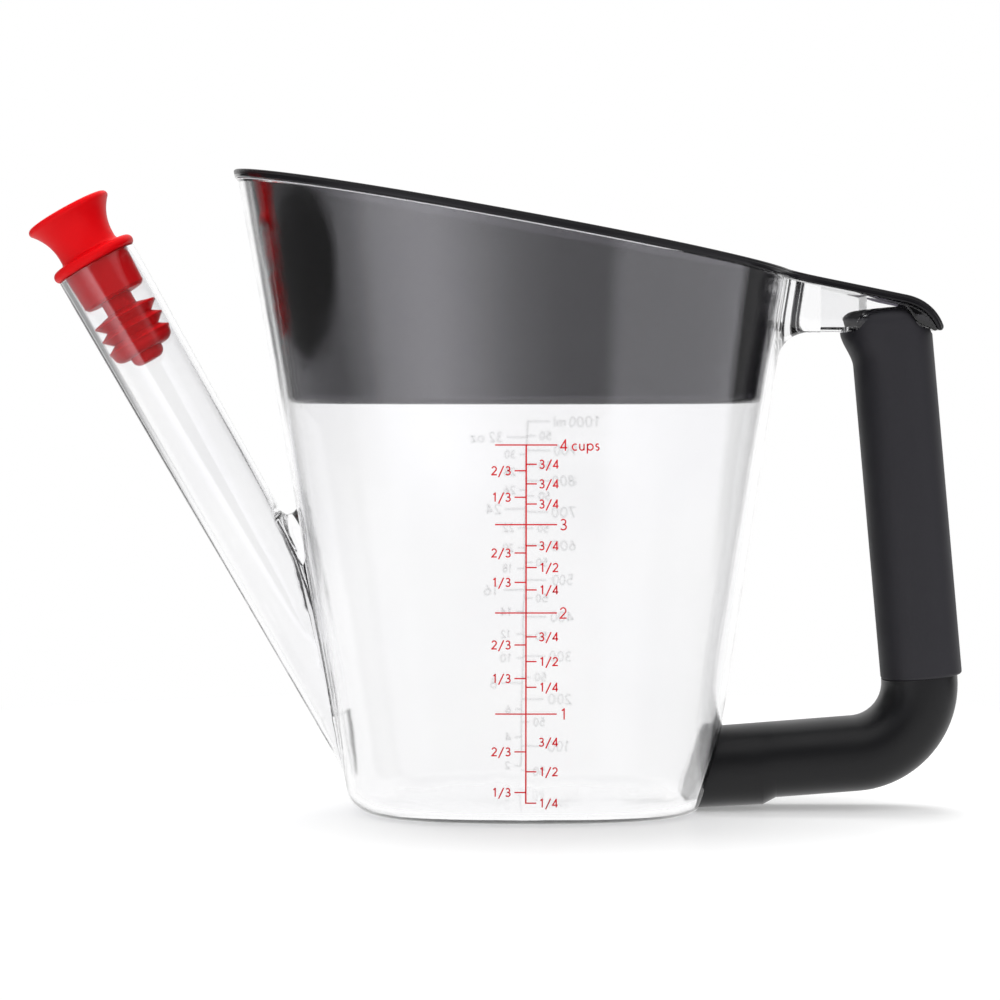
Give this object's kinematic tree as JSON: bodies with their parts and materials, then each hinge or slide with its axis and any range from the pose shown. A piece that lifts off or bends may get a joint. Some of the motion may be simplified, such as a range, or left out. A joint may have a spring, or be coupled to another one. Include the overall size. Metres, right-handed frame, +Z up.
{
  "type": "gravy fat separator",
  "caption": "Clear oval measuring jug that separates fat from gravy: low straight spout with a finned stopper, side handle, and a perforated strainer basket that lifts out.",
  "frame": {"origin": "centre of the cup's flat base, on the surface it stands on", "axes": "+X from the spout towards the handle, +Y across the cup, +Z up"},
  "size_m": [0.2723, 0.1214, 0.1861],
  "materials": {
    "clear_plastic": "clear, polished",
    "smoke_plastic": "smoke-tinted, translucent, polished",
    "black_rim_elastomer": "satin",
    "black_plastic": "satin",
    "black_grip_elastomer": "matt, fine grain",
    "red_silicone": "satin"
  },
  "bodies": {
    "pitcher": {"pitcher_body": "clear_plastic", "handle_core": "black_plastic", "handle_grip": "black_grip_elastomer"},
    "strainer": {"strainer_basket": "smoke_plastic", "strainer_rim": "black_rim_elastomer"},
    "stopper": {"spout_stopper": "red_silicone"}
  },
  "joints": [
    {"name": "strainer_lift", "type": "slide", "parent": "pitcher", "child": "strainer", "axis": [0, 0, 1], "range_m": [0, 0.1]},
    {"name": "stopper_pull", "type": "slide", "parent": "pitcher", "child": "stopper", "axis": [-0.4909, 0, 0.8712], "range_m": [0, 0.055]}
  ]
}
